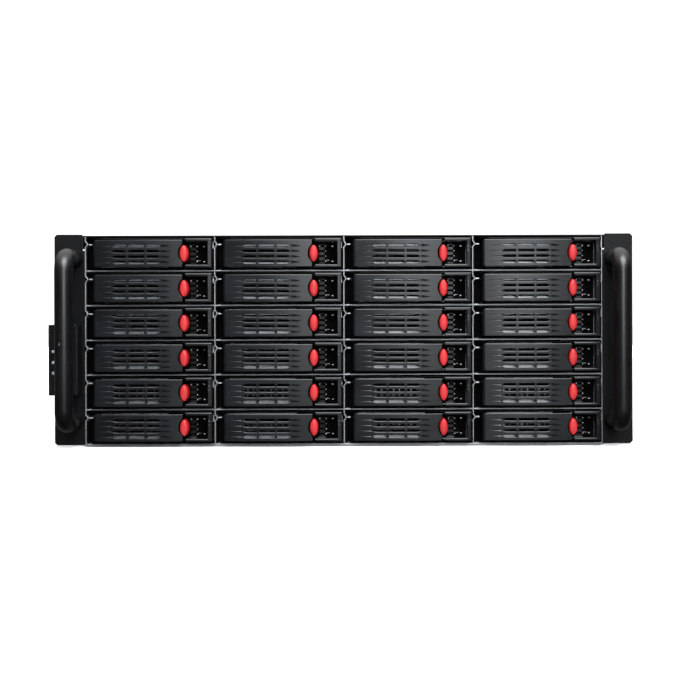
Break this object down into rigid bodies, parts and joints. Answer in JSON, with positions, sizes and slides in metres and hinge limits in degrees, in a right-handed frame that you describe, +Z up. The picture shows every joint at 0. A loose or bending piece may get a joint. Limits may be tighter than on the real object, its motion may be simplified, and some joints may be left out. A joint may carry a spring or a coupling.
{
  "type": "rackmount server chassis",
  "caption": "Black rack-mount storage server chassis with rows of hot-swap drive trays, red release catches, front grab handles and a sliding lid.",
  "frame": {"origin": "middle of the chassis's footprint, on its underside", "axes": "+X to the right seen from the front, -Y towards the front with the trays, +Z up"},
  "size_m": [0.4826, 0.6932, 0.176],
  "materials": {
    "black_coated_steel": "satin",
    "zinc_steel": "satin",
    "screw_steel": "satin",
    "brass": "satin",
    "black_plastic": "matte",
    "fan_plastic": "matte",
    "lens": "gloss",
    "circuit_board": "satin",
    "tray_steel": "satin",
    "lever_plastic": "satin",
    "red_plastic": "satin"
  },
  "bodies": {
    "chassis": {"base_pan": "black_coated_steel", "front_cover": "black_coated_steel", "rear_panel": "black_coated_steel", "slot_covers": "zinc_steel", "slot_screws": "screw_steel", "standoffs": "brass", "left_ear": "black_coated_steel", "right_ear": "black_coated_steel", "handles": "black_coated_steel", "handle_screws": "screw_steel", "control_box": "black_plastic", "status_lenses": "lens", "cage_dividers": "zinc_steel", "cage_shelves": "zinc_steel", "backplanes": "circuit_board", "drive_sockets": "black_plastic", "fan_wall": "zinc_steel", "fan_frames": "black_plastic", "rear_fan_frames": "black_plastic"},
    "lid": {"lid": "black_coated_steel", "lid_thumbscrews": "screw_steel"},
    "power_button": {"power_button": "black_plastic"},
    "reset_button": {"reset_button": "black_plastic"},
    "fan_rotor_1": {"fan_rotor_1": "fan_plastic"},
    "fan_rotor_2": {"fan_rotor_2": "fan_plastic"},
    "fan_rotor_3": {"fan_rotor_3": "fan_plastic"},
    "rear_rotor_1": {"rear_rotor_1": "fan_plastic"},
    "rear_rotor_2": {"rear_rotor_2": "fan_plastic"},
    "lever_r1c1": {"lever_r1c1": "lever_plastic"},
    "catch_r1c1": {"catch_r1c1": "red_plastic"},
    "lever_r1c2": {"lever_r1c2": "lever_plastic"},
    "catch_r1c2": {"catch_r1c2": "red_plastic"},
    "lever_r1c3": {"lever_r1c3": "lever_plastic"},
    "catch_r1c3": {"catch_r1c3": "red_plastic"},
    "lever_r1c4": {"lever_r1c4": "lever_plastic"},
    "catch_r1c4": {"catch_r1c4": "red_plastic"},
    "tray_r1c1": {"tray_r1c1": "tray_steel"},
    "tray_r1c2": {"tray_r1c2": "tray_steel"},
    "tray_r1c3": {"tray_r1c3": "tray_steel"},
    "tray_r1c4": {"tray_r1c4": "tray_steel"},
    "tray_r2c1": {"tray_r2c1": "tray_steel"},
    "tray_r2c2": {"tray_r2c2": "tray_steel"},
    "tray_r2c3": {"tray_r2c3": "tray_steel"},
    "tray_r2c4": {"tray_r2c4": "tray_steel"},
    "tray_r3c1": {"tray_r3c1": "tray_steel"},
    "tray_r3c2": {"tray_r3c2": "tray_steel"},
    "tray_r3c3": {"tray_r3c3": "tray_steel"},
    "tray_r3c4": {"tray_r3c4": "tray_steel"},
    "tray_r4c1": {"tray_r4c1": "tray_steel"},
    "tray_r4c2": {"tray_r4c2": "tray_steel"},
    "tray_r4c3": {"tray_r4c3": "tray_steel"},
    "tray_r4c4": {"tray_r4c4": "tray_steel"},
    "tray_r5c1": {"tray_r5c1": "tray_steel"},
    "tray_r5c2": {"tray_r5c2": "tray_steel"},
    "tray_r5c3": {"tray_r5c3": "tray_steel"},
    "tray_r5c4": {"tray_r5c4": "tray_steel"},
    "tray_r6c1": {"tray_r6c1": "tray_steel"},
    "tray_r6c2": {"tray_r6c2": "tray_steel"},
    "tray_r6c3": {"tray_r6c3": "tray_steel"},
    "tray_r6c4": {"tray_r6c4": "tray_steel"}
  },
  "joints": [
    {"name": "lid_slide", "type": "slide", "parent": "chassis", "child": "lid", "axis": [0, 1, 0], "range_m": [0, 0.42]},
    {"name": "power_press", "type": "slide", "parent": "chassis", "child": "power_button", "axis": [0, 1, 0], "range_m": [0, 0.0013], "stiffness_N_per_m": 900, "springref_m": -0.0008},
    {"name": "reset_press", "type": "slide", "parent": "chassis", "child": "reset_button", "axis": [0, 1, 0], "range_m": [0, 0.0013], "stiffness_N_per_m": 900, "springref_m": -0.0008},
    {"name": "fan_spin_1", "type": "hinge", "parent": "chassis", "child": "fan_rotor_1", "pos_m": [-0.13, -0.0639, 0.071], "axis": [0, 1, 0], "continuous": true},
    {"name": "fan_spin_2", "type": "hinge", "parent": "chassis", "child": "fan_rotor_2", "pos_m": [0, -0.0639, 0.071], "axis": [0, 1, 0], "continuous": true},
    {"name": "fan_spin_3", "type": "hinge", "parent": "chassis", "child": "fan_rotor_3", "pos_m": [0.13, -0.0639, 0.071], "axis": [0, 1, 0], "continuous": true},
    {"name": "rear_fan_spin_1", "type": "hinge", "parent": "chassis", "child": "rear_rotor_1", "pos_m": [-0.00748, 0.3239, 0.112], "axis": [0, 1, 0], "continuous": true},
    {"name": "rear_fan_spin_2", "type": "hinge", "parent": "chassis", "child": "rear_rotor_2", "pos_m": [0.07652, 0.3239, 0.112], "axis": [0, 1, 0], "continuous": true},
    {"name": "lever_swing_r1c1", "type": "hinge", "parent": "tray_r1c1", "child": "lever_r1c1", "pos_m": [-0.2039, -0.3116, 0.15885], "axis": [0, 0, -1], "range_deg": [0, 65]},
    {"name": "catch_slide_r1c1", "type": "slide", "parent": "tray_r1c1", "child": "catch_r1c1", "axis": [1, 0, 0], "range_m": [0, 0.0025], "stiffness_N_per_m": 300, "springref_m": -0.001},
    {"name": "lever_swing_r1c2", "type": "hinge", "parent": "tray_r1c2", "child": "lever_r1c2", "pos_m": [-0.0969, -0.3116, 0.15885], "axis": [0, 0, -1], "range_deg": [0, 65]},
    {"name": "catch_slide_r1c2", "type": "slide", "parent": "tray_r1c2", "child": "catch_r1c2", "axis": [1, 0, 0], "range_m": [0, 0.0025], "stiffness_N_per_m": 300, "springref_m": -0.001},
    {"name": "lever_swing_r1c3", "type": "hinge", "parent": "tray_r1c3", "child": "lever_r1c3", "pos_m": [0.0101, -0.3116, 0.15885], "axis": [0, 0, -1], "range_deg": [0, 65]},
    {"name": "catch_slide_r1c3", "type": "slide", "parent": "tray_r1c3", "child": "catch_r1c3", "axis": [1, 0, 0], "range_m": [0, 0.0025], "stiffness_N_per_m": 300, "springref_m": -0.001},
    {"name": "lever_swing_r1c4", "type": "hinge", "parent": "tray_r1c4", "child": "lever_r1c4", "pos_m": [0.1171, -0.3116, 0.15885], "axis": [0, 0, -1], "range_deg": [0, 65]},
    {"name": "catch_slide_r1c4", "type": "slide", "parent": "tray_r1c4", "child": "catch_r1c4", "axis": [1, 0, 0], "range_m": [0, 0.0025], "stiffness_N_per_m": 300, "springref_m": -0.001},
    {"name": "tray_slide_r1c1", "type": "slide", "parent": "chassis", "child": "tray_r1c1", "axis": [0, -1, 0], "range_m": [0, 0.175]},
    {"name": "tray_slide_r1c2", "type": "slide", "parent": "chassis", "child": "tray_r1c2", "axis": [0, -1, 0], "range_m": [0, 0.175]},
    {"name": "tray_slide_r1c3", "type": "slide", "parent": "chassis", "child": "tray_r1c3", "axis": [0, -1, 0], "range_m": [0, 0.175]},
    {"name": "tray_slide_r1c4", "type": "slide", "parent": "chassis", "child": "tray_r1c4", "axis": [0, -1, 0], "range_m": [0, 0.175]},
    {"name": "tray_slide_r2c1", "type": "slide", "parent": "chassis", "child": "tray_r2c1", "axis": [0, -1, 0], "range_m": [0, 0.175]},
    {"name": "tray_slide_r2c2", "type": "slide", "parent": "chassis", "child": "tray_r2c2", "axis": [0, -1, 0], "range_m": [0, 0.175]},
    {"name": "tray_slide_r2c3", "type": "slide", "parent": "chassis", "child": "tray_r2c3", "axis": [0, -1, 0], "range_m": [0, 0.175]},
    {"name": "tray_slide_r2c4", "type": "slide", "parent": "chassis", "child": "tray_r2c4", "axis": [0, -1, 0], "range_m": [0, 0.175]},
    {"name": "tray_slide_r3c1", "type": "slide", "parent": "chassis", "child": "tray_r3c1", "axis": [0, -1, 0], "range_m": [0, 0.175]},
    {"name": "tray_slide_r3c2", "type": "slide", "parent": "chassis", "child": "tray_r3c2", "axis": [0, -1, 0], "range_m": [0, 0.175]},
    {"name": "tray_slide_r3c3", "type": "slide", "parent": "chassis", "child": "tray_r3c3", "axis": [0, -1, 0], "range_m": [0, 0.175]},
    {"name": "tray_slide_r3c4", "type": "slide", "parent": "chassis", "child": "tray_r3c4", "axis": [0, -1, 0], "range_m": [0, 0.175]},
    {"name": "tray_slide_r4c1", "type": "slide", "parent": "chassis", "child": "tray_r4c1", "axis": [0, -1, 0], "range_m": [0, 0.175]},
    {"name": "tray_slide_r4c2", "type": "slide", "parent": "chassis", "child": "tray_r4c2", "axis": [0, -1, 0], "range_m": [0, 0.175]},
    {"name": "tray_slide_r4c3", "type": "slide", "parent": "chassis", "child": "tray_r4c3", "axis": [0, -1, 0], "range_m": [0, 0.175]},
    {"name": "tray_slide_r4c4", "type": "slide", "parent": "chassis", "child": "tray_r4c4", "axis": [0, -1, 0], "range_m": [0, 0.175]},
    {"name": "tray_slide_r5c1", "type": "slide", "parent": "chassis", "child": "tray_r5c1", "axis": [0, -1, 0], "range_m": [0, 0.175]},
    {"name": "tray_slide_r5c2", "type": "slide", "parent": "chassis", "child": "tray_r5c2", "axis": [0, -1, 0], "range_m": [0, 0.175]},
    {"name": "tray_slide_r5c3", "type": "slide", "parent": "chassis", "child": "tray_r5c3", "axis": [0, -1, 0], "range_m": [0, 0.175]},
    {"name": "tray_slide_r5c4", "type": "slide", "parent": "chassis", "child": "tray_r5c4", "axis": [0, -1, 0], "range_m": [0, 0.175]},
    {"name": "tray_slide_r6c1", "type": "slide", "parent": "chassis", "child": "tray_r6c1", "axis": [0, -1, 0], "range_m": [0, 0.175]},
    {"name": "tray_slide_r6c2", "type": "slide", "parent": "chassis", "child": "tray_r6c2", "axis": [0, -1, 0], "range_m": [0, 0.175]},
    {"name": "tray_slide_r6c3", "type": "slide", "parent": "chassis", "child": "tray_r6c3", "axis": [0, -1, 0], "range_m": [0, 0.175]},
    {"name": "tray_slide_r6c4", "type": "slide", "parent": "chassis", "child": "tray_r6c4", "axis": [0, -1, 0], "range_m": [0, 0.175]}
  ]
}
